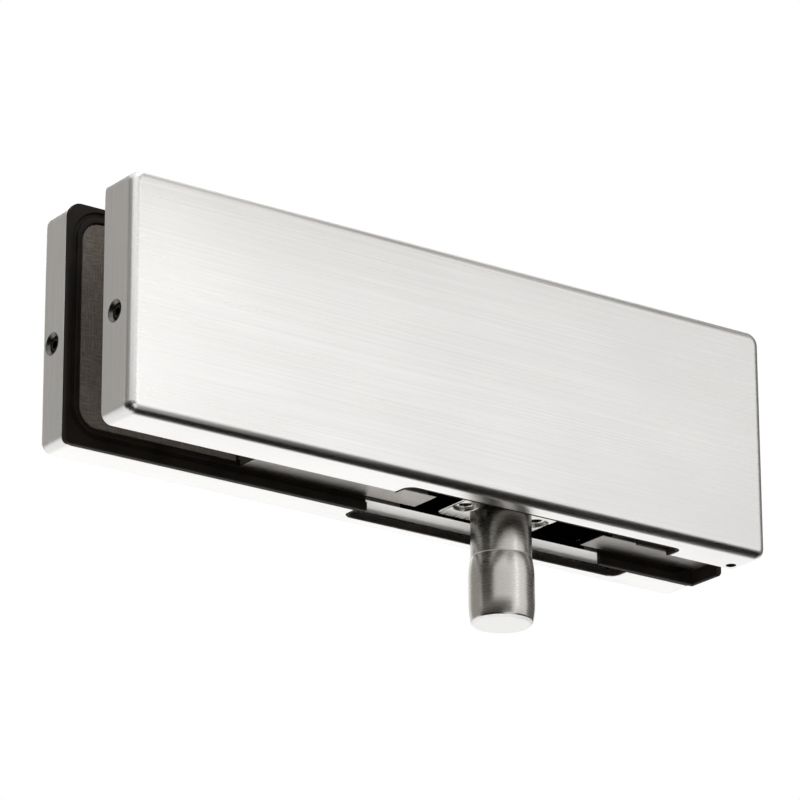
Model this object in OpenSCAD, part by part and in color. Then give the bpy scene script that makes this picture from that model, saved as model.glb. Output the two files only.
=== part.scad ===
// Over-panel patch fitting for a frameless glass door: two covered clamp halves that grip the
// corner of a glass panel, with a pivot pin that hangs down into the top of the door.
// Origin on the pivot axis, in the middle of the glass, level with the covers' underside.

/* [Overall] */
// Length of the fitting
fitting_l = 164; // [150:1:200]
// Height of the covers
fitting_h = 52; // [48:1:70]
// Distance from the pivot axis to the wall end
pin_from_end = 59; // [56:1:70]
// Thickness of the glass that is clamped
glass_t = 12; // [10:0.5:13]

/* [Covers] */
// Depth of the front cover, face to rim
front_cover_d = 10; // [8.5:0.1:14]
// Depth of the rear cover, face to rim
rear_cover_d = 8.6; // [8:0.1:12]
// Wall of the drawn covers
cover_wall = 1.5; // [1:0.1:1.8]
// Radius of the covers' upper corners, seen from the front
cover_top_r = 1.8; // [1.6:0.1:6]
// Radius of the covers' lower corners, seen from the front
cover_foot_r = 1.6; // [1.5:0.1:4]
// Corner radius inside the covers and on the clamp halves in them
cover_inner_r = 1.6; // [1:0.1:2.4]
// Rounding of the edge round each cover's face
cover_edge_r = 1.5; // [0.8:0.1:1.5]
// Room between a cover and its clamp half
cover_fit = 0.5; // [0.2:0.05:0.8]
// Depth of the notch in each cover's underside
notch_d = 4.6; // [2:0.1:5]
// Length of the notch in each cover's underside
notch_l = 73; // [66:0.5:76]
// Corner radius of that notch
notch_r = 2.4; // [1:0.1:3]
// Diameter of the weep hole in the front cover's underside
weep_dia = 2.2; // [1.5:0.1:3]
// Depth of that hole in the front half behind it
weep_depth = 6; // [3:0.5:10]

/* [Gaskets and pads] */
// Thickness of the rubber gaskets
gasket_t = 1.3; // [1:0.1:2.5]
// Width of the gasket frame
gasket_w = 3.3; // [3:0.1:6]
// Height of the gasket frame's lower strip
gasket_foot = 4.2; // [3:0.1:5]
// How far the front gasket lies inside the front cover's outline
front_inset = 1; // [0.5:0.1:1.2]
// Distance from the notch's glass end to the gap in the lower strip, below the pin block
foot_gap_glass = 2.5; // [1.5:0.1:6]
// Distance from the notch's wall end to that gap
foot_gap_wall = 8.5; // [1.5:0.1:10]
// Corner radius inside the gasket frame
gasket_inner_r = 4.5; // [2:0.1:8]
// Depth of the groove along the gasket frame
groove_depth = 0.5; // [0.2:0.1:0.8]
// Width of the groove along the gasket frame
groove_w = 1; // [0.6:0.1:1.4]
// Corner radius of the gasket frame
gasket_corner_r = 1.2; // [1:0.1:4]
// Reach of the lip that closes the gap beside the boss at the wall end
lip_reach = 8; // [4:0.1:9]
// Thickness of that lip
lip_t = 1.6; // [1:0.1:3]
// Width of the rubber lining along each cover's notch
lining_w = 0.6; // [0.4:0.1:1]
// Room between that lining and the notch
lining_fit = 0.1; // [0.05:0.05:0.3]
// Corner radius inside that lining
lining_inner_r = 1.8; // [0.5:0.1:2]
// How far the fibre pads lie below the gasket frame's face
pad_sink = 0.3; // [0.1:0.1:0.8]
// Room round the fibre pads
pad_fit = 0.2; // [0.1:0.05:0.5]

/* [Clamp halves] */
// Height of the halves' underside above the covers' underside
half_foot = 2.8; // [1.8:0.1:3]
// Distance from the pivot axis to the glass end of the boss
boss_reach = 63; // [58:0.5:75]
// Height of the boss's underside above the covers' underside
boss_z = 3; // [2.6:0.1:4]
// Height of the boss's top above the covers' underside
boss_top = 33; // [32:0.5:36]
// Corner radius of the boss, for the cut-out in the glass
boss_corner_r = 8; // [4:0.5:10]
// How far the boss ends short of the front half's plane of grip
boss_relief = 3.5; // [0.3:0.1:5]
// Room between the boss and the rear gasket
boss_clear = 0.3; // [0.1:0.1:0.6]
// Depth of the casting pockets behind the covers
pocket_d = 3; // [1:0.1:3.5]
// Rib between the casting pockets
pocket_rib = 4; // [3:0.5:6]

/* [Pivot slide] */
// Length of the slot for the pin block
slot_l = 44; // [36:0.5:48]
// How far the slot's middle lies beyond the pivot axis at rest
slot_offset = 3.6; // [0:0.1:5]
// Height of the slot's roof above the covers' underside
slot_roof = 26; // [25:0.5:28]
// Length of the pin block
block_l = 24.6; // [24:0.1:28]
// Depth of the pin block's stem
block_d = 13.4; // [12:0.1:13.8]
// Height of the pin block's underside above the covers' underside
block_z = 3.2; // [2:0.1:5]
// Height of the pin block's guide flange
flange_h = 6; // [4:0.1:8]
// How far the guide flange stands out on each side of the halves' faces
flange_reach = 1.3; // [0.8:0.1:2]
// Corner radius of the pin block
block_r = 1.5; // [0.5:0.1:2]
// Running clearance of the pin block
slide_fit = 0.2; // [0.1:0.05:0.4]

/* [Pivot pin] */
// Diameter of the crowned part that runs in the door's bush
pin_dia = 14; // [12:0.1:15]
// Length of the straight land on the crown
pin_land_l = 5; // [3:0.1:8]
// Diameter of the neck
neck_dia = 13; // [11:0.1:13.4]
// Reach of the neck below the covers' underside
neck_drop = 6.4; // [4:0.1:10]
// Reach of the pin below the covers' underside
pin_drop = 21; // [18:0.1:28]
// Diameter of the pin's lower end, above its chamfer
pin_end_dia = 13.1; // [11:0.1:13.8]
// Chamfer at the pin's lower end
pin_chamfer = 0.6; // [0.2:0.1:1.5]
// Diameter of the shank inside the pin block
shank_dia = 10; // [8:0.1:11]
// Room between a shank and its bore
shank_fit = 0.03; // [0.01:0.01:0.1]

/* [Screws] */
// Diameter of the clamp screws
clamp_dia = 8; // [6:0.5:8]
// Height of the clamp screws above the covers' underside
clamp_z = 18; // [14:0.5:22]
// Distance from the boss's ends to the clamp screws
clamp_inset = 12.5; // [12:0.5:14]
// Diameter of the clamp screws' heads
clamp_head_dia = 13; // [10:0.5:13]
// Height of the clamp screws' heads
clamp_head_h = 4.2; // [3:0.1:4.5]
// Thickness of the washers under the heads
washer_t = 1.2; // [0.8:0.1:1.6]
// Diameter of the washers
washer_dia = 15; // [14:0.5:17]
// How far the clamp screws end short of the rear half's back
clamp_end_gap = 2; // [1:0.5:3]
// Room round the screws in the front half
screw_play = 0.4; // [0.2:0.1:0.8]
// Diameter of the cover screws
cover_screw_dia = 3; // [2.5:0.1:4]
// Length of the cover screws
cover_screw_l = 7; // [5:0.5:10]
// Height of the cover screws above the covers' underside
cover_screw_z = 22.5; // [16:0.5:26]
// Distance from a cover's rim to its screws
cover_screw_rim = 4.3; // [3.5:0.1:5]
// Countersink width beyond the cover screw
sink_w = 0.7; // [0.3:0.1:1]
// Diameter of the block's lock screws
lock_dia = 5; // [4:0.5:5]
// Distance from the pivot axis to the lock screws
lock_x = 9.3; // [9:0.1:10]
// How far the lock screws lie above the block's underside
lock_sink = 0.6; // [0.2:0.1:2]

/* [Hidden] */
$fn = 64;

// A cut runs past the faces it opens by this much
past = 1;
// Width across the flats of a screw's hexagon socket, and its depth, as shares of the screw's diameter
socket_share = 0.5;

x_left = pin_from_end - fitting_l;
x_right = pin_from_end;
slot_x0 = slot_offset - slot_l / 2;
slot_x1 = slot_offset + slot_l / 2;
notch_x0 = slot_offset - notch_l / 2;
// Place of the boss's glass end, from the fitting's left end
boss_side_x = -boss_reach - x_left;
// Planes of the glass face and of the covers' rims, from the middle of the glass
grip_y = glass_t / 2;
rim_y = grip_y + gasket_t;
half_inset = cover_wall + cover_fit;
boss_x1 = x_right - lip_t - boss_clear;
front_half_t = front_cover_d - half_inset;
rear_half_t = rear_cover_d - half_inset;
// Planes between which the boss fills the cut-out in the glass
boss_back_y = grip_y - boss_clear;
boss_front_y = -(grip_y - boss_relief);
// The guide flange runs in grooves cut into both halves
flange_y = rim_y + flange_reach;
flange_top = slot_roof - slide_fit;
flange_z = flange_top - flange_h;
clamp_xs = [-boss_reach + clamp_inset, slot_x0 - clamp_inset, (slot_x1 + boss_x1) / 2];
cover_screw_y = rim_y + cover_screw_rim;
washer_seat_y = -(rim_y + front_half_t - clamp_head_h - washer_t);
clamp_head_y = washer_seat_y - washer_t;

steel = "#c9c9c7";
bright_steel = "#b4b3b0";
dark_steel = "#6f6d6a";
cast_aluminium = "#a9a7a3";
rubber = "#211b16";
fibre = "#6d645c";

// Rectangle with round corners, from its lower left corner
module round_rect(l, h, r) {
    translate([r, 0]) square([l - 2 * r, h]);
    translate([0, r]) square([l, h - 2 * r]);
    for (x = [r, l - r], y = [r, h - r])
        translate([x, y]) circle(r);
}

// Section from the middle of a drawn cap to its rounded edge
module edge_section(run, d, r) {
    square([run, d - r]);
    square([run - r, d]);
    translate([run - r, d - r]) intersection() {
        circle(r);
        square(r);
    }
}

// Upper half of a solid cap, face up, with round corners and a rounded edge
module half_cap(l, h, d, corner_r, edge_r) {
    // the long middle
    translate([corner_r, 0, 0]) rotate([90, 0, 90])
        linear_extrude(l - 2 * corner_r) edge_section(h, d, edge_r);
    for (side = [0, 1])
        translate([side * l, 0, 0]) mirror([side, 0, 0]) {
            // an end below its corner
            translate([corner_r, h - corner_r, 0]) rotate([90, 0, 0]) mirror([1, 0, 0])
                linear_extrude(h - corner_r) edge_section(corner_r, d, edge_r);
            // the corner
            translate([corner_r, h - corner_r, 0]) rotate(90)
                rotate_extrude(angle = 90) edge_section(corner_r, d, edge_r);
        }
}

// Solid cap with other corners above than below
module cap(l, h, d, top_r, foot_r, edge_r) {
    translate([0, h / 2, 0]) half_cap(l, h / 2, d, top_r, edge_r);
    translate([0, h / 2, 0]) mirror([0, 1, 0]) half_cap(l, h / 2, d, foot_r, edge_r);
}

// Puts a flat piece drawn from the fitting's lower left corner on the front or rear rim plane
module on_front() {
    translate([x_left, -rim_y, 0]) rotate([90, 0, 0]) children();
}

module on_rear() {
    mirror([0, 1, 0]) on_front() children();
}

// Outline of the notch in a cover's underside, from the rim inwards, kept back by an inset
module notch_outline(inset, r) {
    translate([notch_x0 - x_left + inset, -r - past])
        round_rect(notch_l - 2 * inset, notch_d - inset + r + past, r);
}

// Drawn cover: an open cap with a notch in its underside and a countersunk hole in each end
module cover(d) {
    difference() {
        cap(fitting_l, fitting_h, d, cover_top_r, cover_foot_r, cover_edge_r);
        translate([cover_wall, cover_wall, -past]) linear_extrude(d - cover_wall + past)
            round_rect(fitting_l - 2 * cover_wall, fitting_h - 2 * cover_wall, cover_inner_r);
        translate([0, cover_wall + past, 0]) rotate([90, 0, 0])
            linear_extrude(cover_wall + 2 * past) notch_outline(0, notch_r);
        for (side = [0, 1])
            translate([side * fitting_l, cover_screw_z, cover_screw_rim]) mirror([side, 0, 0])
                rotate([0, 90, 0]) cover_screw_hole();
    }
}

module cover_screw_hole() {
    translate([0, 0, -past]) cylinder(h = cover_wall + 2 * past, d = cover_screw_dia + screw_play);
    cylinder(h = sink_w, d1 = cover_screw_dia + screw_play + 2 * sink_w, d2 = cover_screw_dia + screw_play);
}

module front_cover() {
    color(steel) difference() {
        on_front() cover(front_cover_d);
        weep_hole();
    }
}

// Weep hole near the wall end, through the front cover into its half
module weep_hole() {
    translate([x_right - cover_wall - weep_dia, -rim_y - weep_dia, -past])
        cylinder(h = half_foot + weep_depth + past, d = weep_dia);
}

module rear_cover() {
    color(steel) on_rear() cover(rear_cover_d);
}

// Plate of a clamp half with casting pockets on the covered side and tapped holes in its ends
module half_plate(t) {
    plate_l = fitting_l - 2 * half_inset;
    plate_h = fitting_h - half_inset - half_foot;
    difference() {
        translate([half_inset, half_foot, 0]) linear_extrude(t) round_rect(plate_l, plate_h, cover_inner_r);
        // a row of pockets above the boss
        pocket_count = 6;
        row_z = boss_top + pocket_rib;
        row_h = half_foot + plate_h - pocket_rib - row_z;
        pitch = (plate_l - pocket_rib) / pocket_count;
        for (i = [0 : pocket_count - 1])
            translate([half_inset + pocket_rib + i * pitch, row_z, t - pocket_d])
                linear_extrude(pocket_d + past) round_rect(pitch - pocket_rib, row_h, cover_inner_r);
        // one deep pocket beside the boss, behind the glass
        side_x = half_inset + cover_screw_l + pocket_rib;
        translate([side_x, half_foot + pocket_rib, t - pocket_d]) linear_extrude(pocket_d + past)
            round_rect(boss_side_x - side_x, row_z - half_foot - 2 * pocket_rib, cover_inner_r);
        for (side = [0, 1])
            translate([side * fitting_l, cover_screw_z, cover_screw_rim]) mirror([side, 0, 0])
                rotate([0, 90, 0]) cylinder(h = cover_screw_l + cover_wall, d = cover_screw_dia + 2 * shank_fit);
    }
}

// Groove for the pin block's guide flange, cut into a half's inner face
module flange_groove() {
    translate([slot_x0, -flange_y - slide_fit, flange_z - slide_fit])
        cube([slot_l, flange_y - rim_y + slide_fit + past, flange_h + 2 * slide_fit]);
}

module front_half() {
    color(cast_aluminium) difference() {
        on_front() half_plate(front_half_t);
        flange_groove();
        weep_hole();
        for (x = clamp_xs)
            translate([x, 0, clamp_z]) rotate([90, 0, 0]) {
                cylinder(h = rim_y + front_half_t + past, d = clamp_dia + screw_play);
                translate([0, 0, -washer_seat_y])
                    cylinder(h = front_half_t, d = washer_dia + screw_play);
            }
    }
}

// Outline of the boss, seen from the front: round where the glass has its inner corner, and open
// below for the pin block
module boss_outline() {
    boss_l = boss_x1 + boss_reach;
    boss_h = boss_top - boss_z;
    difference() {
        translate([-boss_reach, boss_z]) {
            square([boss_l, boss_h - boss_corner_r]);
            translate([boss_corner_r, 0]) square([boss_l - boss_corner_r, boss_h]);
            translate([boss_corner_r, boss_h - boss_corner_r]) circle(boss_corner_r);
        }
        translate([slot_x0, boss_z - past]) square([slot_l, slot_roof - boss_z + past]);
    }
}

module rear_half() {
    color(cast_aluminium) difference() {
        union() {
            on_rear() half_plate(rear_half_t);
            // the boss's root passes through the rear gasket's frame
            translate([0, rim_y, 0]) rotate([90, 0, 0])
                linear_extrude(rim_y - boss_back_y + past) intersection() {
                    boss_outline();
                    translate([x_left, 0]) frame_opening(-pad_fit);
                }
            translate([0, boss_back_y, 0]) rotate([90, 0, 0])
                linear_extrude(boss_back_y - boss_front_y) boss_outline();
        }
        mirror([0, 1, 0]) flange_groove();
        for (x = clamp_xs)
            translate([x, -grip_y - past, clamp_z]) rotate([-90, 0, 0])
                cylinder(h = rim_y + grip_y + rear_half_t + 2 * past, d = clamp_dia + 2 * shank_fit);
    }
}

// Opening inside a gasket frame, grown by a margin
module frame_opening(grow) {
    translate([gasket_w - grow, gasket_foot - grow])
        round_rect(fitting_l - 2 * gasket_w + 2 * grow, fitting_h - gasket_w - gasket_foot + 2 * grow,
            gasket_inner_r + grow);
}

// Rubber frame round the grip area, open below the pin block, with a lining along the cover's notch
module gasket_frame(inset) {
    mirror([0, 0, 1]) linear_extrude(gasket_t) difference() {
        translate([inset, inset])
            round_rect(fitting_l - 2 * inset, fitting_h - 2 * inset, gasket_corner_r);
        frame_opening(0);
        translate([notch_x0 - x_left + foot_gap_glass, -past])
            square([notch_l - foot_gap_glass - foot_gap_wall, gasket_foot + 2 * past]);
    }
    translate([0, cover_wall, 0]) rotate([90, 0, 0]) linear_extrude(cover_wall) difference() {
        notch_outline(lining_fit, notch_r);
        notch_outline(lining_fit + lining_w, lining_inner_r);
        // it ends inside the frame
        translate([0, -gasket_t / 2 - fitting_h]) square([fitting_l, fitting_h]);
    }
}

// Groove along a gasket frame's face
module frame_groove() {
    groove_in = (gasket_w - groove_w) / 2;
    translate([0, 0, -gasket_t - past]) linear_extrude(past + groove_depth) difference() {
        frame_opening(groove_in + groove_w);
        frame_opening(groove_in);
    }
}

module front_gasket() {
    color(rubber) on_front() gasket_frame(front_inset);
}

module rear_gasket() {
    color(rubber) {
        difference() {
            on_rear() gasket_frame(0);
            on_rear() frame_groove();
        }
        // the lip at the wall end, beside the boss
        on_rear() translate([0, 0, -gasket_t - lip_reach]) linear_extrude(lip_reach + groove_depth)
            intersection() {
                round_rect(fitting_l, fitting_h, gasket_corner_r);
                translate([fitting_l - lip_t, 0]) square([lip_t, boss_top]);
            }
    }
}

// Fibre pad inside a gasket frame, cut away round the boss
module pad() {
    mirror([0, 0, 1]) linear_extrude(gasket_t - pad_sink) difference() {
        frame_opening(-pad_fit);
        translate([boss_side_x - pad_fit, -past])
            square([fitting_l, boss_top + pad_fit + past]);
    }
}

module front_pad() {
    color(fibre) on_front() pad();
}

module rear_pad() {
    color(fibre) on_rear() pad();
}

// Steel block that carries the pin: a stem with a guide flange on top
module pin_block() {
    color(bright_steel) difference() {
        union() {
            translate([-block_l / 2, -block_d / 2, block_z]) linear_extrude(flange_top - block_z)
                round_rect(block_l, block_d, block_r);
            translate([-block_l / 2, -flange_y, flange_z]) cube([block_l, 2 * flange_y, flange_h]);
        }
        translate([0, 0, block_z - past])
            cylinder(h = flange_top - block_z + 2 * past, d = shank_dia + 2 * shank_fit);
        for (x = [-lock_x, lock_x])
            translate([x, 0, block_z - past])
                cylinder(h = flange_top - block_z + 2 * past, d = lock_dia + 2 * shank_fit);
    }
}

// Radius of the arc that falls away from a straight land by a given amount over a given run
function crown_radius(run, fall) = (pow(run, 2) + pow(fall, 2)) / (2 * fall);

// Half section of the crowned part above or below its land, from the land outwards
module crown_section(run, end_dia) {
    crown_r = crown_radius(run, (pin_dia - end_dia) / 2);
    intersection() {
        square([pin_dia / 2, run]);
        translate([pin_dia / 2 - crown_r, 0]) circle(crown_r);
    }
}

// Turned pin: shank, neck, crowned part with a straight land, chamfered end
module pivot_pin() {
    crown_run = (pin_drop - neck_drop - pin_land_l) / 2;
    land_top = -neck_drop - crown_run;
    land_foot = land_top - pin_land_l;
    foot_run = pin_drop + land_foot - pin_chamfer;
    color(dark_steel) rotate_extrude() {
        square([shank_dia / 2, flange_top]);
        translate([0, -neck_drop]) square([neck_dia / 2, neck_drop + block_z]);
        translate([0, land_top]) crown_section(crown_run, neck_dia);
        translate([0, land_foot]) square([pin_dia / 2, pin_land_l]);
        translate([0, land_foot]) mirror([0, 1]) crown_section(foot_run, pin_end_dia);
        translate([0, -pin_drop]) polygon([[0, 0], [pin_end_dia / 2 - pin_chamfer, 0],
            [pin_end_dia / 2, pin_chamfer], [0, pin_chamfer]]);
    }
}

// Hexagon socket of a given width across its flats
module socket(flats, depth) {
    cylinder(h = depth, d = flats / cos(30), $fn = 6);
}

// Headless screw along +Z with a hexagon socket in its lower end
module socket_screw(l, d) {
    difference() {
        cylinder(h = l, d = d);
        translate([0, 0, -past]) socket(d * socket_share, d * socket_share + past);
    }
}

module lock_screw(x) {
    color(dark_steel) translate([x, 0, block_z + lock_sink])
        socket_screw(flange_top - block_z - lock_sink, lock_dia);
}

module left_lock_screw() { lock_screw(-lock_x); }
module right_lock_screw() { lock_screw(lock_x); }

// Cap screw that pulls the front half towards the rear half
module clamp_screw(x) {
    shank_l = rim_y + rear_half_t - clamp_end_gap - clamp_head_y;
    color(dark_steel) translate([x, clamp_head_y, clamp_z]) rotate([-90, 0, 0]) difference() {
        union() {
            translate([0, 0, -clamp_head_h]) cylinder(h = clamp_head_h, d = clamp_head_dia);
            cylinder(h = shank_l, d = clamp_dia);
        }
        translate([0, 0, -clamp_head_h - past])
            socket(clamp_head_dia * socket_share, clamp_head_h * socket_share + past);
    }
}

module clamp_washer(x) {
    color(bright_steel) translate([x, clamp_head_y, clamp_z]) rotate([-90, 0, 0])
        difference() {
            cylinder(h = washer_t, d = washer_dia);
            translate([0, 0, -past]) cylinder(h = washer_t + 2 * past, d = clamp_dia + screw_play);
        }
}

module left_outer_clamp_screw() { clamp_screw(clamp_xs[0]); }
module left_inner_clamp_screw() { clamp_screw(clamp_xs[1]); }
module right_clamp_screw() { clamp_screw(clamp_xs[2]); }
module left_outer_washer() { clamp_washer(clamp_xs[0]); }
module left_inner_washer() { clamp_washer(clamp_xs[1]); }
module right_washer() { clamp_washer(clamp_xs[2]); }

// Headless screw that holds a cover's end to its half
module cover_screw(y, side) {
    color(dark_steel) translate([side * fitting_l + x_left, y, cover_screw_z]) mirror([side, 0, 0])
        translate([sink_w, 0, 0]) rotate([0, 90, 0]) socket_screw(cover_screw_l, cover_screw_dia);
}

module front_left_cover_screw() { cover_screw(-cover_screw_y, 0); }
module front_right_cover_screw() { cover_screw(-cover_screw_y, 1); }
module rear_left_cover_screw() { cover_screw(cover_screw_y, 0); }
module rear_right_cover_screw() { cover_screw(cover_screw_y, 1); }

front_cover();
rear_cover();
front_half();
rear_half();
front_gasket();
rear_gasket();
front_pad();
rear_pad();
pin_block();
pivot_pin();
left_lock_screw();
right_lock_screw();
left_outer_clamp_screw();
left_inner_clamp_screw();
right_clamp_screw();
left_outer_washer();
left_inner_washer();
right_washer();
front_left_cover_screw();
front_right_cover_screw();
rear_left_cover_screw();
rear_right_cover_screw();
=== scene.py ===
# %% [markdown]
# # A patch fitting for a glass door
#
# This fitting clamps the corner of a fixed glass panel and carries the pin that a glass door turns on.
# The CAD model holds the shapes and sizes. The first cell loads it as a fixed frame, and the lesson then
# gives each piece the edges and the finish that the eye expects of pressed, cast, moulded and turned parts.

import math

import bmesh
import bpy
from mathutils import Matrix, Vector


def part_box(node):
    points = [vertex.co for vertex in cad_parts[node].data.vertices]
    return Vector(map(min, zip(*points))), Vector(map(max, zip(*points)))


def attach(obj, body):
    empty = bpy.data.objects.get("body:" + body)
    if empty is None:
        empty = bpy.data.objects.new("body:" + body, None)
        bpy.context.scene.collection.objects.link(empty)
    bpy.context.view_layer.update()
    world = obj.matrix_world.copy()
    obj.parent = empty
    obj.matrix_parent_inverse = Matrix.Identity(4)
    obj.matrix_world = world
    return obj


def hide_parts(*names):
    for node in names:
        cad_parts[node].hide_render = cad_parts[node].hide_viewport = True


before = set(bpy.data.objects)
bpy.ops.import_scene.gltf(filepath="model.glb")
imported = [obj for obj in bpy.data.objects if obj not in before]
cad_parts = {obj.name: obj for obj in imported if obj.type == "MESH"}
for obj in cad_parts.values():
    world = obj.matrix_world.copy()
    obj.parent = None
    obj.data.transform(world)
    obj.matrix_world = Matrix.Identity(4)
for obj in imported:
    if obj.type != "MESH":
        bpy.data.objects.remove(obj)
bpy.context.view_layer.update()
scene = bpy.context.scene

# %% [markdown]
# ## Units, colours and nodes
#
# Blender works in metres here, but a maker thinks in millimetres, so `mm` keeps the sizes readable.
# Colours are written as the hex values a screen shows. Shaders calculate in linear light, so one
# function converts them. `add_node` adds a node with its settings and links in one line, and the short
# helpers after it build on that.

# %% Helpers for sizes, colours and nodes
mm = 0.001


def linear(hex_colour):
    """Linear RGBA from an sRGB hex value."""
    channels = [int(hex_colour[i : i + 2], 16) / 255 for i in (1, 3, 5)]
    return [c / 12.92 if c <= 0.04045 else ((c + 0.055) / 1.055) ** 2.4 for c in channels] + [1.0]


def add_node(tree, kind, inputs=None, **settings):
    """A node of this kind; an input that is a socket is linked, any other value is set."""
    made = tree.nodes.new(kind)
    for name, value in settings.items():
        setattr(made, name, value)
    for name, value in (inputs or {}).items():
        if isinstance(value, bpy.types.NodeSocket):
            tree.links.new(value, made.inputs[name])
        else:
            made.inputs[name].default_value = value
    return made


def new_material(name):
    """An empty material with a Principled shader: (material, tree, shader)."""
    made = bpy.data.materials.new(name)
    made.use_nodes = True
    return made, made.node_tree, made.node_tree.nodes["Principled BSDF"]


def grain(tree, size_mm, detail=3.0, place=None):
    """Noise whose spots are about size_mm across; three sizes make streaks along the longest."""
    sizes = size_mm if isinstance(size_mm, tuple) else (size_mm,) * 3
    place = place or add_node(tree, "ShaderNodeTexCoord").outputs["Object"]
    scaled = add_node(tree, "ShaderNodeMapping", {"Vector": place, "Scale": [1 / (s * mm) for s in sizes]})
    noise = add_node(tree, "ShaderNodeTexNoise",
                     {"Vector": scaled.outputs["Vector"], "Scale": 1.0, "Detail": detail})
    return noise.outputs["Fac"]


def spread(tree, value, low, high, start=0.3, end=0.7):
    """Maps a value between start and end, such as a grain, onto the range from low to high."""
    ranged = add_node(tree, "ShaderNodeMapRange",
                      {"Value": value, "From Min": start, "From Max": end, "To Min": low, "To Max": high})
    return ranged.outputs["Result"]


def blend(tree, factor, under, hex_colour):
    """Lays a hex colour over another colour where the factor is 1."""
    mixed = add_node(tree, "ShaderNodeMix", {"Factor": factor, "A": under, "B": linear(hex_colour)},
                     data_type="RGBA")
    return mixed.outputs[2]


def tint(tree, value, dark, light):
    """Mixes two hex colours by a grain value."""
    return blend(tree, value, linear(dark), light)


def calculate(tree, operation, a, b=0.0):
    """One step of arithmetic on two values; masks of 0 and 1 are joined by MULTIPLY."""
    return add_node(tree, "ShaderNodeMath", {0: a, 1: b}, operation=operation).outputs[0]


def surface(tree):
    """Where a point lies in its piece and the way it faces, as two vectors."""
    place = add_node(tree, "ShaderNodeTexCoord").outputs["Object"]
    return place, add_node(tree, "ShaderNodeNewGeometry").outputs["Normal"]


def parts(tree, vector):
    """The X, Y and Z of a vector."""
    return add_node(tree, "ShaderNodeSeparateXYZ", {"Vector": vector}).outputs


def within(tree, place, centre, radius):
    """A mask that is 1 where a point lies less than the radius from the centre."""
    away = add_node(tree, "ShaderNodeVectorMath", {0: place, 1: centre}, operation="DISTANCE")
    return calculate(tree, "LESS_THAN", away.outputs["Value"], radius)


def raised(tree, height, depth_mm, strength=1.0):
    """A normal that makes a height from 0 to 1 look depth_mm deep."""
    bump = add_node(tree, "ShaderNodeBump",
                    {"Height": height, "Distance": depth_mm * mm, "Strength": strength})
    return bump.outputs["Normal"]


print("helpers ready, 1 mm =", mm, "m")

# %% [markdown]
# ## Brushed stainless steel
#
# The covers are drawn from sheet and then brushed with a belt. The belt leaves fine scratches along the
# length of the face and up and down the ends. A noise that is stretched along the scratches gives both the
# bump and the roughness. Real scratches are about 0.05 mm wide; here they are 0.3 mm, so that they show.
# The weep hole's wall is painted near black as shade, and the cone walls of the countersinks of the cover
# screws are painted grey as shade. Two masks pick them out by where a point lies and by the way it faces.

# %% Material: brushed stainless steel
steel, tree, shader = new_material("brushed_stainless_steel")
weep_hole, weep_hole_reach = Vector((55.3, -9.5, 0.75)) * mm, 1.5 * mm
countersink, countersink_reach = Vector((0, 11.6, 22.5)) * mm, 2.45 * mm
place, normal = surface(tree)
endward, _, rising = parts(tree, normal)
endward = calculate(tree, "ABSOLUTE", endward)
along = grain(tree, (55, 0.3, 0.3), 2.0, place)
upright = grain(tree, (0.3, 0.3, 40), 2.0, place)
end_face = calculate(tree, "GREATER_THAN", endward, 0.75)
brushed = add_node(tree, "ShaderNodeMix", {"Factor": end_face, "A": along, "B": upright}).outputs[0]
clouds = grain(tree, (38, 20, 16), 2.0, place)
colour = tint(tree, spread(tree, brushed, 0.0, 1.0), "#E6E5E3", "#F6F5F3")
colour = blend(tree, spread(tree, clouds, 0.0, 0.35), colour, "#DEDDDB")
# painted shade: the weep hole's wall, but not the face under it, is darkened to near black
painted_hole_shade = calculate(tree, "MULTIPLY", within(tree, place, weep_hole, weep_hole_reach),
                    calculate(tree, "GREATER_THAN", rising, -0.7))
colour = blend(tree, painted_hole_shade, colour, "#1A1714")
_, side, height = parts(tree, place)
on_end = add_node(tree, "ShaderNodeCombineXYZ", {"Y": calculate(tree, "ABSOLUTE", side), "Z": height})
# painted shade: the cone walls of the cover screws' countersinks are darkened to grey
painted_countersink_shade = calculate(tree, "MULTIPLY", within(tree, on_end.outputs["Vector"], countersink, countersink_reach),
                 calculate(tree, "LESS_THAN", endward, 0.95))
colour = blend(tree, painted_countersink_shade, colour, "#7A7774")
tree.links.new(colour, shader.inputs["Base Color"])
tree.links.new(spread(tree, brushed, 0.27, 0.4), shader.inputs["Roughness"])
tree.links.new(raised(tree, brushed, 0.008, 0.6), shader.inputs["Normal"])
shader.inputs["Metallic"].default_value = 1.0
print("made", steel.name)

# %% [markdown]
# ## Cast aluminium
#
# The clamp halves are die-cast. The skin of a casting is dull and slightly uneven, with a fine pebbled
# texture where the metal met the die, so the roughness is high, a fine grain lifts the surface and a wide
# one varies its colour.
# Their feet are milled and their down-facing faces are painted near white and less metallic, partly for the
# milled finish and partly as a painted highlight. The slot in which the pin block slides is painted dark as
# shade. Both are picked out by where a point lies and by the way it faces: the painted shade runs a little
# past the slot's ends, but not onto the underside of the boss.

# %% Material: die-cast aluminium
cast, tree, shader = new_material("die_cast_aluminium")
foot_top = 2.9 * mm
slot_middle, slot_half = 3.6 * mm, 22.2 * mm
shade_overrun = 2.4 * mm
place, normal = surface(tree)
across, _, height = parts(tree, place)
rising = parts(tree, normal)["Z"]
low = calculate(tree, "LESS_THAN", height, foot_top)
# partly the milled finish, partly a painted highlight: low faces that look down are painted near white and
# made less metallic
milled_and_painted_light = calculate(tree, "MULTIPLY", low, calculate(tree, "LESS_THAN", rising, -0.7))
beside = calculate(tree, "ABSOLUTE", calculate(tree, "SUBTRACT", across, slot_middle))
reach = spread(tree, rising, slot_half, slot_half + shade_overrun, -0.8, -0.6)
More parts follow.
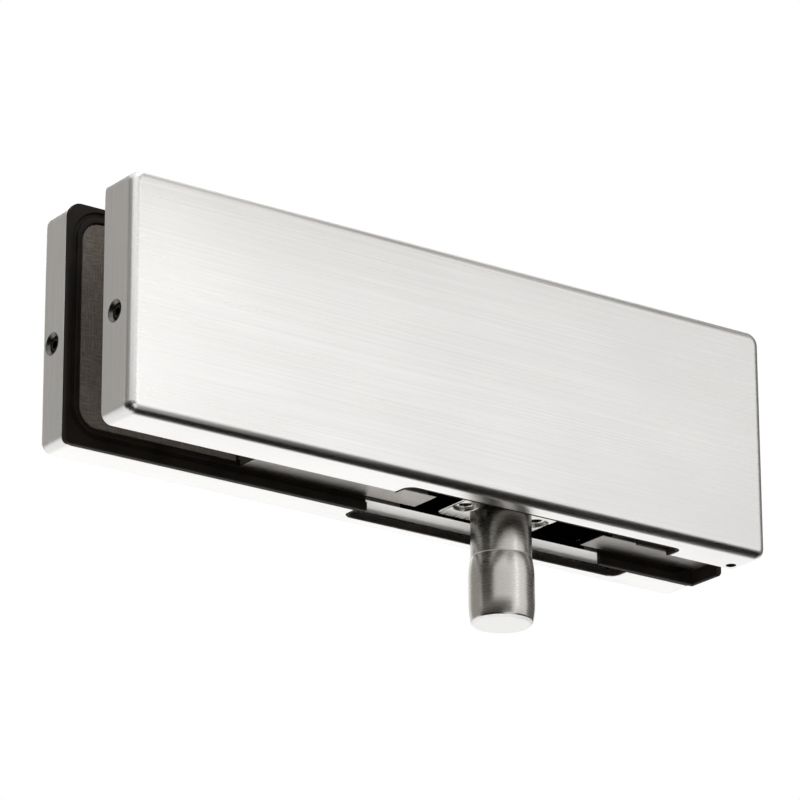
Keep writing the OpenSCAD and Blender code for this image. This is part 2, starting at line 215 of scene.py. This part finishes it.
# painted shade: the slot of the pin block, and a little past its ends, is painted dark brown
painted_slot_shade = calculate(tree, "MULTIPLY", calculate(tree, "SUBTRACT", 1.0, low),
                    calculate(tree, "LESS_THAN", beside, reach))
pebbles = grain(tree, 0.6, 4.0, place)
flow = grain(tree, 9, 3.0, place)
colour = tint(tree, spread(tree, flow, 0.0, 1.0), "#AFABA6", "#C8C4BF")
colour = blend(tree, painted_slot_shade, blend(tree, milled_and_painted_light, colour, "#FBFAF7"), "#2E2823")
tree.links.new(colour, shader.inputs["Base Color"])
tree.links.new(spread(tree, pebbles, 0.42, 0.58), shader.inputs["Roughness"])
tree.links.new(raised(tree, pebbles, 0.03, 0.5), shader.inputs["Normal"])
tree.links.new(spread(tree, milled_and_painted_light, 1.0, 0.1, 0.0, 1.0), shader.inputs["Metallic"])
print("made", cast.name)

# %% [markdown]
# ## Moulded rubber
#
# The gaskets are moulded EPDM rubber. It is nearly black with a warm bloom, and its matt skin
# scatters light. A fine grain breaks up the highlight and a wide one varies the bloom.

# %% Material: EPDM rubber
rubber, tree, shader = new_material("epdm_rubber")
bloom = grain(tree, 7, 3.0)
skin = grain(tree, 0.35, 3.0)
tree.links.new(tint(tree, spread(tree, bloom, 0.0, 1.0), "#120E0A", "#1F1913"), shader.inputs["Base Color"])
tree.links.new(spread(tree, skin, 0.5, 0.72), shader.inputs["Roughness"])
tree.links.new(raised(tree, skin, 0.02, 0.5), shader.inputs["Normal"])
shader.inputs["IOR"].default_value = 1.52
shader.inputs["Specular IOR Level"].default_value = 0.2
print("made", rubber.name)

# %% [markdown]
# ## Pressed fibre
#
# The pads between the steel and the glass are pressed fibre board: soft grey-brown, dry and flecked.
# Short streaks in two directions stand for the fibres that lie in the sheet.

# %% Material: pressed fibre board
fibre, tree, shader = new_material("pressed_fibre_board")
lying = grain(tree, (2.6, 0.25, 0.25), 3.0)
standing = grain(tree, (0.25, 0.25, 2.6), 3.0)
fibres = calculate(tree, "MAXIMUM", lying, standing)
colour = tint(tree, spread(tree, fibres, 0.0, 1.0, 0.4, 0.75), "#574F48", "#7D756D")
tree.links.new(colour, shader.inputs["Base Color"])
tree.links.new(raised(tree, fibres, 0.06, 0.6), shader.inputs["Normal"])
shader.inputs["Roughness"].default_value = 0.85
shader.inputs["IOR"].default_value = 1.48
print("made", fibre.name)

# %% [markdown]
# ## Plated and turned steel
#
# The pin block is milled and zinc plated, so it is bright with faint cutter marks across it. The pin is
# turned in a lathe: the tool leaves rings round it, and rings are bands along Z, while its end is faced to a
# pale matt finish. The top few millimetres of its neck are painted dark, a painted reflection of the dark
# slot above it. The screws are blackened in hot oxide, which leaves a dark metal with a low gloss.

# %% Material: zinc-plated steel
plated, tree, shader = new_material("zinc_plated_steel")
cutter = grain(tree, (0.4, 14, 14), 2.0)
tree.links.new(tint(tree, spread(tree, cutter, 0.0, 1.0), "#CBC8C2", "#E0DDD8"), shader.inputs["Base Color"])
tree.links.new(spread(tree, cutter, 0.2, 0.34), shader.inputs["Roughness"])
tree.links.new(raised(tree, cutter, 0.006, 0.5), shader.inputs["Normal"])
shader.inputs["Metallic"].default_value = 1.0
print("made", plated.name)

# %% Material: turned steel
turned, tree, shader = new_material("turned_steel")
neck_reflection_top, neck_reflection_foot = 1.0 * mm, -4.5 * mm
place, normal = surface(tree)
# painted reflection: the neck darkens from 4.5 mm below the block up to 1 mm above it
painted_neck_reflection = spread(tree, parts(tree, place)["Z"], 0.0, 0.75, neck_reflection_foot, neck_reflection_top)
faced = calculate(tree, "LESS_THAN", parts(tree, normal)["Z"], -0.5)
rings = grain(tree, (400, 400, 0.25), 2.0, place)
colour = tint(tree, spread(tree, rings, 0.0, 1.0), "#C4C0BB", "#D2CFCA")
colour = blend(tree, painted_neck_reflection, blend(tree, faced, colour, "#FAF9F7"), "#3A332D")
tree.links.new(colour, shader.inputs["Base Color"])
matt = calculate(tree, "MULTIPLY", faced, 0.3)
tree.links.new(calculate(tree, "ADD", spread(tree, rings, 0.24, 0.32), matt), shader.inputs["Roughness"])
tree.links.new(raised(tree, rings, 0.004, 0.3), shader.inputs["Normal"])
tree.links.new(spread(tree, faced, 1.0, 0.2, 0.0, 1.0), shader.inputs["Metallic"])
print("made", turned.name)

# %% Material: black oxide steel
oxide, tree, shader = new_material("black_oxide_steel")
oil = grain(tree, 0.8, 3.0)
tree.links.new(tint(tree, spread(tree, oil, 0.0, 1.0), "#26231F", "#3B3733"), shader.inputs["Base Color"])
tree.links.new(spread(tree, oil, 0.3, 0.48), shader.inputs["Roughness"])
shader.inputs["Metallic"].default_value = 1.0
print("made", oxide.name)

# %% [markdown]
# ## Edges
#
# No real edge is perfectly sharp, and the thin line of light on it is what makes a render look solid.
# A CAD node may not be edited, so each visible piece is a copy. Its loose triangles are merged, the flat
# areas are cleared of needless edges, and a Bevel modifier breaks the outer edges by a fraction of a
# millimetre. Inner corners stay as they are: a tool reaches into them, but nothing wears them away.
# Last, any point that the bevel pushed out is brought back to the box of the node it stands for.

# %% Helpers: a copy of a CAD node with broken edges
sharp_angle = math.radians(35)
flat_angle = math.radians(0.2)


def finish_piece(piece, edge_mm, material, body, nodes):
    """Breaks the piece's outer edges, shades it smooth and lets it stand for its CAD nodes."""
    shell = bmesh.new()
    shell.from_mesh(piece.data)
    weight = shell.edges.layers.float.new("bevel_weight_edge")
    for edge in shell.edges:
        sharp = len(edge.link_faces) == 2 and edge.calc_face_angle() > sharp_angle
        edge[weight] = 1.0 if sharp and edge.is_convex else 0.0
        edge.smooth = not sharp
    for face in shell.faces:
        face.smooth = True
    shell.to_mesh(piece.data)
    shell.free()
    bevel = piece.modifiers.new("broken_edges", "BEVEL")
    bevel.width = edge_mm * mm
    bevel.segments = 2
    bevel.limit_method = "WEIGHT"
    bevel.use_clamp_overlap = False
    bevel.harden_normals = True
    evaluated = piece.evaluated_get(bpy.context.evaluated_depsgraph_get())
    piece.data = bpy.data.meshes.new_from_object(evaluated)
    piece.modifiers.clear()
    corners = [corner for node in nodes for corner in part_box(node)]
    low = [min(corner[i] for corner in corners) for i in range(3)]
    high = [max(corner[i] for corner in corners) for i in range(3)]
    for vertex in piece.data.vertices:
        vertex.co = [min(max(vertex.co[i], low[i]), high[i]) for i in range(3)]
    piece.data.materials.clear()
    piece.data.materials.append(material)
    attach(piece, body)
    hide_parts(*nodes)
    print(piece.name, "has", len(piece.data.polygons), "faces")


def new_piece(name, mesh):
    """An object at the origin that holds this mesh."""
    made = bpy.data.objects.new(name, mesh)
    scene.collection.objects.link(made)
    return made


def dressed(node, edge_mm, material, body, reshape=None):
    """A merged copy of a CAD node, with broken edges; reshape may move its points first."""
    shell = bmesh.new()
    shell.from_mesh(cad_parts[node].data)
    bmesh.ops.remove_doubles(shell, verts=shell.verts, dist=0.002 * mm)
    bmesh.ops.dissolve_limit(shell, angle_limit=flat_angle, verts=shell.verts, edges=shell.edges)
    mesh = bpy.data.meshes.new(node + "_dressed")
    shell.to_mesh(mesh)
    shell.free()
    if reshape:
        reshape(mesh, *(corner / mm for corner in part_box(node)))
    finish_piece(new_piece(node + "_dressed", mesh), edge_mm, material, body, [node])


# %% [markdown]
# ## Softer corners
#
# Sheet that is drawn over a punch takes a generous radius, and the brushing belt rounds it further. The CAD
# covers have tight radii, so their skin is moved onto larger ones before the edges are broken. A point of the
# skin is known by its inset from the outline and by its depth below the face. Both grow by the ratio of the
# radii, and a point in a corner turns about the new corner's centre. The flat sides stay where they are.

# %% Helper: larger radii for a drawn cover
def softer(out, edge, top, foot, near=0.02):
    """A function that moves a skin from its CAD radii to larger ones; each pair is (CAD, larger) in mm.
    out is the way along Y that the cover's face looks, and near is how close to the skin a point must lie."""
    grown = edge[1] / edge[0] if edge[0] else 1.0

    def reshape(mesh, low, high):
        middle = (low + high) / 2
        moved = 0
        for vertex in mesh.vertices:
            x, y, z = vertex.co / mm
            side = min(x - low.x, high.x - x)
            level = min(z - low.z, high.z - z)
            sink = high.y - y if out > 0 else y - low.y
            old, new = top if z > middle.z else foot
            reach = math.hypot(old - side, old - level)
            in_corner = max(side, level) < old + near
            inset = old - reach if in_corner else min(side, level)
            in_edge = sink < edge[0] + near
            off = math.hypot(edge[0] - inset, edge[0] - sink) - edge[0] if in_edge else inset
            if abs(off) > near:
                continue
            inset *= grown
            sink *= grown if in_edge else 1.0
            if in_corner:
                side, level = (new - (new - inset) * (old - part) / reach for part in (side, level))
            elif side < level:
                side = inset
            else:
                level = inset
            vertex.co = Vector((
                high.x - side if x > middle.x else low.x + side,
                high.y - sink if out > 0 else low.y + sink,
                high.z - level if z > middle.z else low.z + level)) * mm
            moved += 1
        print("softened", moved, "of", len(mesh.vertices), "points")

    return reshape


# %% [markdown]
# ## Covers, gaskets, pads, halves and pin block
#
# Pressed sheet has small, burr-free edges. Moulded rubber and pressed fibre have softer ones, a casting is
# softer still, and the milled block is chamfered most of all. The edge size of each piece follows from that.

# %% Dress these pieces
dressed("front_cover", 0.15, steel, "clamp", softer(-1, edge=(1.5, 2.1), top=(1.8, 3.0), foot=(1.6, 2.4)))
dressed("rear_cover", 0.15, steel, "clamp", softer(1, edge=(1.5, 1.8), top=(1.8, 3.0), foot=(1.6, 2.4)))
dressed("rear_gasket", 0.25, rubber, "clamp", softer(1, edge=(0, 0), top=(1.2, 3.0), foot=(1.2, 1.2)))
dressed("front_gasket", 0.25, rubber, "clamp")
for node in ("front_half", "rear_half"):
    dressed(node, 0.3, cast, "clamp")
for node in ("front_pad", "rear_pad"):
    dressed(node, 0.25, fibre, "clamp")
dressed("pin_block", 0.35, plated, "pin_carrier")

# %% [markdown]
# ## The pivot pin
#
# A turned part is a profile spun about an axis. The profile is the CAD node's own: a shank in the block,
# a neck, a crown that lets the door tilt a little as it is hung, and a chamfered end. Spinning it here
# with many steps keeps the outline round, and a fine groove marks where the neck ends.

# %% Spin the pin
foot, top = (corner.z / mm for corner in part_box("pivot_pin"))
under_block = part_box("pin_block")[0].z / mm
shank_r, neck_r, crown_r, end_r = 5.0, 6.5, 7.0, 6.55
neck_end, land_top, land_foot = -6.4, -11.2, -16.2
shank_chamfer, end_chamfer = 0.4, 0.6
groove, crown_step = 0.08, 0.03


def crown_points(near_z, far_z, far_r, steps=14):
    """Points of the arc that leaves the crown's straight land and falls to far_r."""
    run, fall = abs(far_z - near_z), crown_r - far_r
    arc = (run**2 + fall**2) / (2 * fall)
    reach = [near_z + (far_z - near_z) * i / steps for i in range(steps + 1)]
    return [(crown_r - arc + math.sqrt(arc**2 - (z - near_z) ** 2), z) for z in reach]


profile = [(0, top), (shank_r - shank_chamfer, top), (shank_r, top - shank_chamfer), (shank_r, under_block)]
profile += [(neck_r, under_block), (neck_r, neck_end + groove), (neck_r - groove, neck_end)]
profile += crown_points(land_top, neck_end - groove, neck_r + crown_step)[::-1]
profile += crown_points(land_foot, foot + end_chamfer, end_r)
profile += [(end_r - end_chamfer, foot), (0, foot)]
lathe = bmesh.new()
chain = [lathe.verts.new((r * mm, 0, z * mm)) for r, z in profile]
edges = [lathe.edges.new(pair) for pair in zip(chain, chain[1:])]
bmesh.ops.spin(lathe, geom=chain + edges, cent=(0, 0, 0), axis=(0, 0, 1), angle=math.tau, steps=128)
bmesh.ops.remove_doubles(lathe, verts=lathe.verts, dist=0.001 * mm)
bmesh.ops.recalc_face_normals(lathe, faces=lathe.faces)
pin_mesh = bpy.data.meshes.new("pin_turned")
lathe.to_mesh(pin_mesh)
lathe.free()
finish_piece(new_piece("pin_turned", pin_mesh), 0.08, turned, "pin_carrier", ["pivot_pin"])

# %% [markdown]
# ## Socket screws
#
# Four headless screws hold the covers and two lock the pin block. They differ only in size, so one
# Geometry Nodes tree makes them all: a round bar with a hexagon socket cut into its end is set on each
# point and turned to face the way that the point's own direction says.

# %% Geometry Nodes tree: a row of socket screws
screw_tree = bpy.data.node_groups.new("socket_screws", "GeometryNodeTree")
new_socket = screw_tree.interface.new_socket
new_socket("Places", in_out="INPUT", socket_type="NodeSocketGeometry")
socket_ids = {}
for name in ("Diameter", "Length", "Socket Width", "Socket Depth"):
    socket_ids[name] = new_socket(name, in_out="INPUT", socket_type="NodeSocketFloat").identifier
socket_ids["Finish"] = new_socket("Finish", in_out="INPUT", socket_type="NodeSocketMaterial").identifier
new_socket("Screws", in_out="OUTPUT", socket_type="NodeSocketGeometry")
given = add_node(screw_tree, "NodeGroupInput").outputs


def cylinder(sides, radius, depth):
    """A cylinder or prism that stands round the origin."""
    return add_node(screw_tree, "GeometryNodeMeshCylinder",
                    {"Vertices": sides, "Radius": radius, "Depth": depth}).outputs["Mesh"]


def shift(geometry, z):
    """Moves a shape along Z."""
    offset = add_node(screw_tree, "ShaderNodeCombineXYZ", {"Z": z}).outputs[0]
    return add_node(screw_tree, "GeometryNodeTransform",
                    {"Geometry": geometry, "Translation": offset}).outputs[0]


across_flats_to_radius = 1 / (2 * math.cos(math.radians(30)))
bar = cylinder(48, calculate(screw_tree, "MULTIPLY", given["Diameter"], 0.5), given["Length"])
bar = shift(bar, calculate(screw_tree, "MULTIPLY", given["Length"], -0.5))
hexagon = cylinder(6, calculate(screw_tree, "MULTIPLY", given["Socket Width"], across_flats_to_radius),
                   calculate(screw_tree, "MULTIPLY", given["Socket Depth"], 2.0))
cut = add_node(screw_tree, "GeometryNodeMeshBoolean", {"Mesh 1": bar, "Mesh 2": hexagon},
               operation="DIFFERENCE")
facing = add_node(screw_tree, "GeometryNodeInputNamedAttribute", {"Name": "facing"},
                  data_type="FLOAT_VECTOR")
turn = add_node(screw_tree, "FunctionNodeAlignRotationToVector", {"Vector": facing.outputs["Attribute"]},
                axis="Z")
row = add_node(screw_tree, "GeometryNodeInstanceOnPoints", {
    "Points": given["Places"], "Instance": cut.outputs["Mesh"], "Rotation": turn.outputs["Rotation"]})
solid = add_node(screw_tree, "GeometryNodeRealizeInstances", {"Geometry": row.outputs["Instances"]})
coated = add_node(screw_tree, "GeometryNodeSetMaterial", {
    "Geometry": solid.outputs["Geometry"], "Material": given["Finish"]})
add_node(screw_tree, "NodeGroupOutput", {"Screws": coated.outputs["Geometry"]})
print("tree", screw_tree.name, "has", len(screw_tree.nodes), "nodes")

# %% Set the screws
def socket_screws(name, nodes, axis, edge_mm, finish, body):
    """One mesh of socket screws that stands for these CAD nodes, each screw facing out along its axis."""
    places, directions = [], []
    for node in nodes:
        low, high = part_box(node)
        middle = (low + high) / 2
        out = 1.0 if axis == 0 and middle.x > 0 else -1.0
        spot = middle.copy()
        spot[axis] = high[axis] if out > 0 else low[axis]
        places.append(spot)
        directions.append(Vector([out if i == axis else 0.0 for i in range(3)]))
    size = high - low  # the screws of one row are alike, so the last one's box will do
    diameter = size.y
    mesh = bpy.data.meshes.new(name)
    mesh.from_pydata(places, [], [])
    pointing = mesh.attributes.new("facing", "FLOAT_VECTOR", "POINT")
    for item, direction in zip(pointing.data, directions):
        item.vector = direction
    screws = new_piece(name, mesh)
    grown = screws.modifiers.new("socket_screws", "NODES")
    grown.node_group = screw_tree
    values = {"Diameter": diameter, "Length": size[axis], "Socket Width": diameter / 2,
              "Socket Depth": diameter / 2, "Finish": finish}
    for key, value in values.items():
        grown[socket_ids[key]] = value
    evaluated = screws.evaluated_get(bpy.context.evaluated_depsgraph_get())
    screws.data = bpy.data.meshes.new_from_object(evaluated)
    screws.modifiers.clear()
    finish_piece(screws, edge_mm, finish, body, nodes)


socket_screws("cover_screws", [f"{a}_{b}_cover_screw" for a in ("front", "rear") for b in ("left", "right")],
              0, 0.12, oxide, "clamp")
socket_screws("lock_screws", ["left_lock_screw", "right_lock_screw"], 2, 0.2, plated, "pin_carrier")

# %% [markdown]
# ## The hidden screws and washers
#
# The clamp screws sit under the front cover. They are right as they are, so the CAD nodes stay and only
# get their finish. The other nodes get one too, but the pieces above stand in for them.

# %% Finish the hidden pieces
for node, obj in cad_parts.items():
    finish = oxide if "screw" in node else plated
    obj.data.materials.clear()
    obj.data.materials.append(finish)
print("finished", len(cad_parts), "CAD nodes")

# %% [markdown]
# ## Floor and light
#
# Bare metal shows what stands round it, so a metal object is lit by what it reflects. The surroundings
# are white for everything that the camera or a reflection sees. A few grey and black cards, which only
# reflections see, draw the dark edges that give the covers and the pin their shape. Two lamps leave no
# reflection: they only lift the dull faces that look down or to the left.

# %% The world and the floor
world = bpy.data.worlds.new("white_studio")
scene.world = world
world.use_nodes = True
tree = world.node_tree
path = add_node(tree, "ShaderNodeLightPath").outputs
seen = calculate(tree, "MAXIMUM", path["Is Camera Ray"], path["Is Glossy Ray"])
seen = calculate(tree, "MAXIMUM", seen, path["Is Transmission Ray"])
backdrop = tree.nodes["Background"]
backdrop.inputs["Color"].default_value = linear("#FFFFFF")
tree.links.new(spread(tree, seen, 0.55, 1.0, 0.0, 1.0), backdrop.inputs["Strength"])

floor_z, floor_half = -1.2, 16
floor_mesh = bpy.data.meshes.new("floor")
square = ((-1, -1), (1, -1), (1, 1), (-1, 1))
floor_mesh.from_pydata([(x * floor_half, y * floor_half, floor_z) for x, y in square], [], [(0, 1, 2, 3)])
floor = new_piece("floor", floor_mesh)
pale, tree, shader = new_material("pale_floor")
speckle = grain(tree, 30, 2.0)
tree.links.new(tint(tree, spread(tree, speckle, 0.0, 1.0), "#F4F4F3", "#F8F8F7"), shader.inputs["Base Color"])
shader.inputs["Roughness"].default_value = 0.9
reflected = add_node(tree, "ShaderNodeLightPath").outputs["Is Glossy Ray"]
white = add_node(tree, "ShaderNodeEmission", {"Color": linear("#FFFFFF"), "Strength": 1.0}).outputs[0]
seen_floor = add_node(tree, "ShaderNodeMixShader", {0: reflected, 1: shader.outputs[0], 2: white}).outputs[0]
tree.links.new(seen_floor, tree.nodes["Material Output"].inputs["Surface"])
floor_mesh.materials.append(pale)
print("floor at", floor_z, "m")

# %% Cards and lamps
heart = Vector((-27.175, -1.2, 23.085)) * mm


def toward(azimuth, elevation):
    """Direction from the object: azimuth 0 is straight out of the front, positive to the right."""
    a, e = math.radians(azimuth), math.radians(elevation)
    return Vector((math.sin(a) * math.cos(e), -math.cos(a) * math.cos(e), math.sin(e)))


def facing_matrix(azimuth, elevation, distance):
    """A place that far from the object, with its -Z turned to the object."""
    out = toward(azimuth, elevation)
    return Matrix.Translation(heart + out * distance) @ out.to_track_quat("Z", "Y").to_matrix().to_4x4()


def card(name, azimuth, elevation, width, height, grey, distance=0.7, glow=1.0):
    """A card that only reflections see; one with more glow stands for a lamp."""
    corners = [facing_matrix(azimuth, elevation, distance) @ Vector((x * width / 2, y * height / 2, 0))
               for x, y in square]
    mesh = bpy.data.meshes.new(name)
    mesh.from_pydata(corners, [], [(0, 1, 2, 3)])
    made = new_piece(name, mesh)
    paper, tree, _ = new_material(name + "_paper")
    shine = add_node(tree, "ShaderNodeEmission", {"Color": linear(grey), "Strength": glow})
    tree.links.new(shine.outputs[0], tree.nodes["Material Output"].inputs["Surface"])
    mesh.materials.append(paper)
    made.visible_camera = made.visible_diffuse = made.visible_shadow = False


def lamp(name, azimuth, elevation, size, watts, distance=1.2, mirrored=True):
    """A square soft light; one that isn't mirrored leaves no spot on the metal."""
    data = bpy.data.lights.new(name, "AREA")
    data.size, data.energy = size, watts
    made = bpy.data.objects.new(name, data)
    made.matrix_world = facing_matrix(azimuth, elevation, distance)
    made.visible_glossy = mirrored
    scene.collection.objects.link(made)


card("card_below", 58, -52, 0.7, 0.9, "#1C1A18", 0.55)
card("card_below_left", -57, -48, 0.6, 0.75, "#1C1A18", 0.55)
card("card_below_right", 108, -54, 0.42, 0.42, "#1C1A18", 0.55)
card("card_low_left", -88, -22, 0.9, 0.6, "#1C1A18")
card("card_front_left", -40, -2, 1.2, 0.26, "#2A2724")
card("card_high_front", 36, 50, 0.6, 0.25, "#8F8C88", 0.35)
card("card_low_front", 42, -19, 0.6, 0.26, "#45423F")
card("card_under_back", 143, -20, 0.7, 0.4, "#FFFFFF", glow=1.3)
card("card_streak", 20, 18, 0.03, 0.5, "#FFFFFF", glow=3.8)
card("card_left", -88, 16, 0.6, 0.7, "#8A8784")
card("card_back_left", -145, 18, 0.75, 0.8, "#A9A7A4")
card("card_right", 90, 18, 0.8, 0.8, "#6C6A67")
lamp("key", 10, 55, 0.7, 5)
lamp("fill", -60, -25, 0.6, 3, mirrored=False)
lamp("back", 160, 40, 0.7, 5)
lamp("below", -30, -80, 0.5, 2, 0.9, mirrored=False)
print("cards and lamps stand round", [round(c, 4) for c in heart])

# %% [markdown]
# ## The camera
#
# The view is from below and from the left, through a long lens: the parallel edges hardly draw together.
# The angles, the distance and the lens come from fitting a pinhole camera to the corners of the covers.

# %% Set the camera
azimuth, elevation, roll = -36.336, -19.83, math.radians(-0.232)
distance, focal_pixels, frame_pixels = 0.9842, 4704.15, 800
back = toward(azimuth, elevation)
level = Vector((math.cos(math.radians(azimuth)), math.sin(math.radians(azimuth)), 0))
upright = back.cross(level)
right = math.cos(roll) * level + math.sin(roll) * upright
up = back.cross(right)
place = heart + back * distance
lens = bpy.data.cameras.new("camera")
lens.sensor_width = 36
lens.lens = focal_pixels / frame_pixels * lens.sensor_width
lens.clip_start, lens.clip_end = 0.05, 50
camera = bpy.data.objects.new("camera", lens)
camera.matrix_world = Matrix((right, up, back)).transposed().to_4x4()
camera.matrix_world.translation = place
scene.collection.objects.link(camera)
scene.camera = camera
scene.view_settings.view_transform = "Standard"
print("camera", [round(c, 4) for c in place], "lens", round(lens.lens, 2), "mm")
